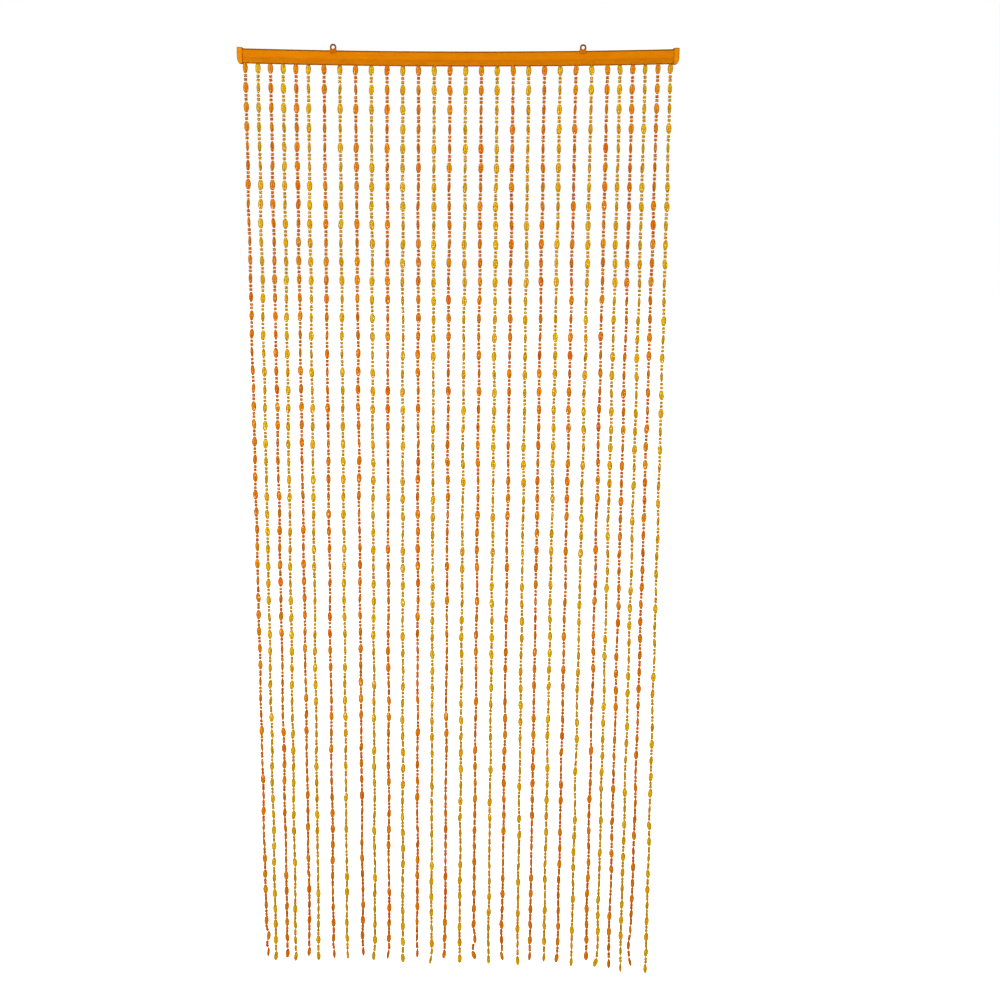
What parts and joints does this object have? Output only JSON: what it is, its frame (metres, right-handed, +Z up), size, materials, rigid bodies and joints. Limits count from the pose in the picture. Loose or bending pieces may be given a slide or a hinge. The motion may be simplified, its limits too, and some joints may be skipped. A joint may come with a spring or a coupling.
{
  "type": "bead curtain with headrail",
  "caption": "Doorway bead curtain: strands of clear orange and yellow plastic beads hang side by side from a bowed orange plastic headrail with end caps and hanger eyes.",
  "frame": {"origin": "midway between the centres of the two hanger eyes' holes", "axes": "+X along the rail to the right, +Y to the back, +Z up"},
  "size_m": [0.9, 0.0199, 2.0508],
  "materials": {
    "rail_plastic": "satin extruded plastic, orange",
    "cap_plastic": "moulded plastic, lighter orange",
    "eye_plastic": "moulded plastic, bright orange",
    "orange_beads": "clear tinted acrylic, polished facets",
    "yellow_beads": "clear tinted acrylic, polished facets"
  },
  "bodies": {
    "root": {"rail": "rail_plastic", "end_cap_left": "cap_plastic", "end_cap_right": "cap_plastic", "hanger_eye_left": "eye_plastic", "hanger_eye_right": "eye_plastic", "orange_strands": "orange_beads", "yellow_strands": "yellow_beads"}
  },
  "joints": []
}
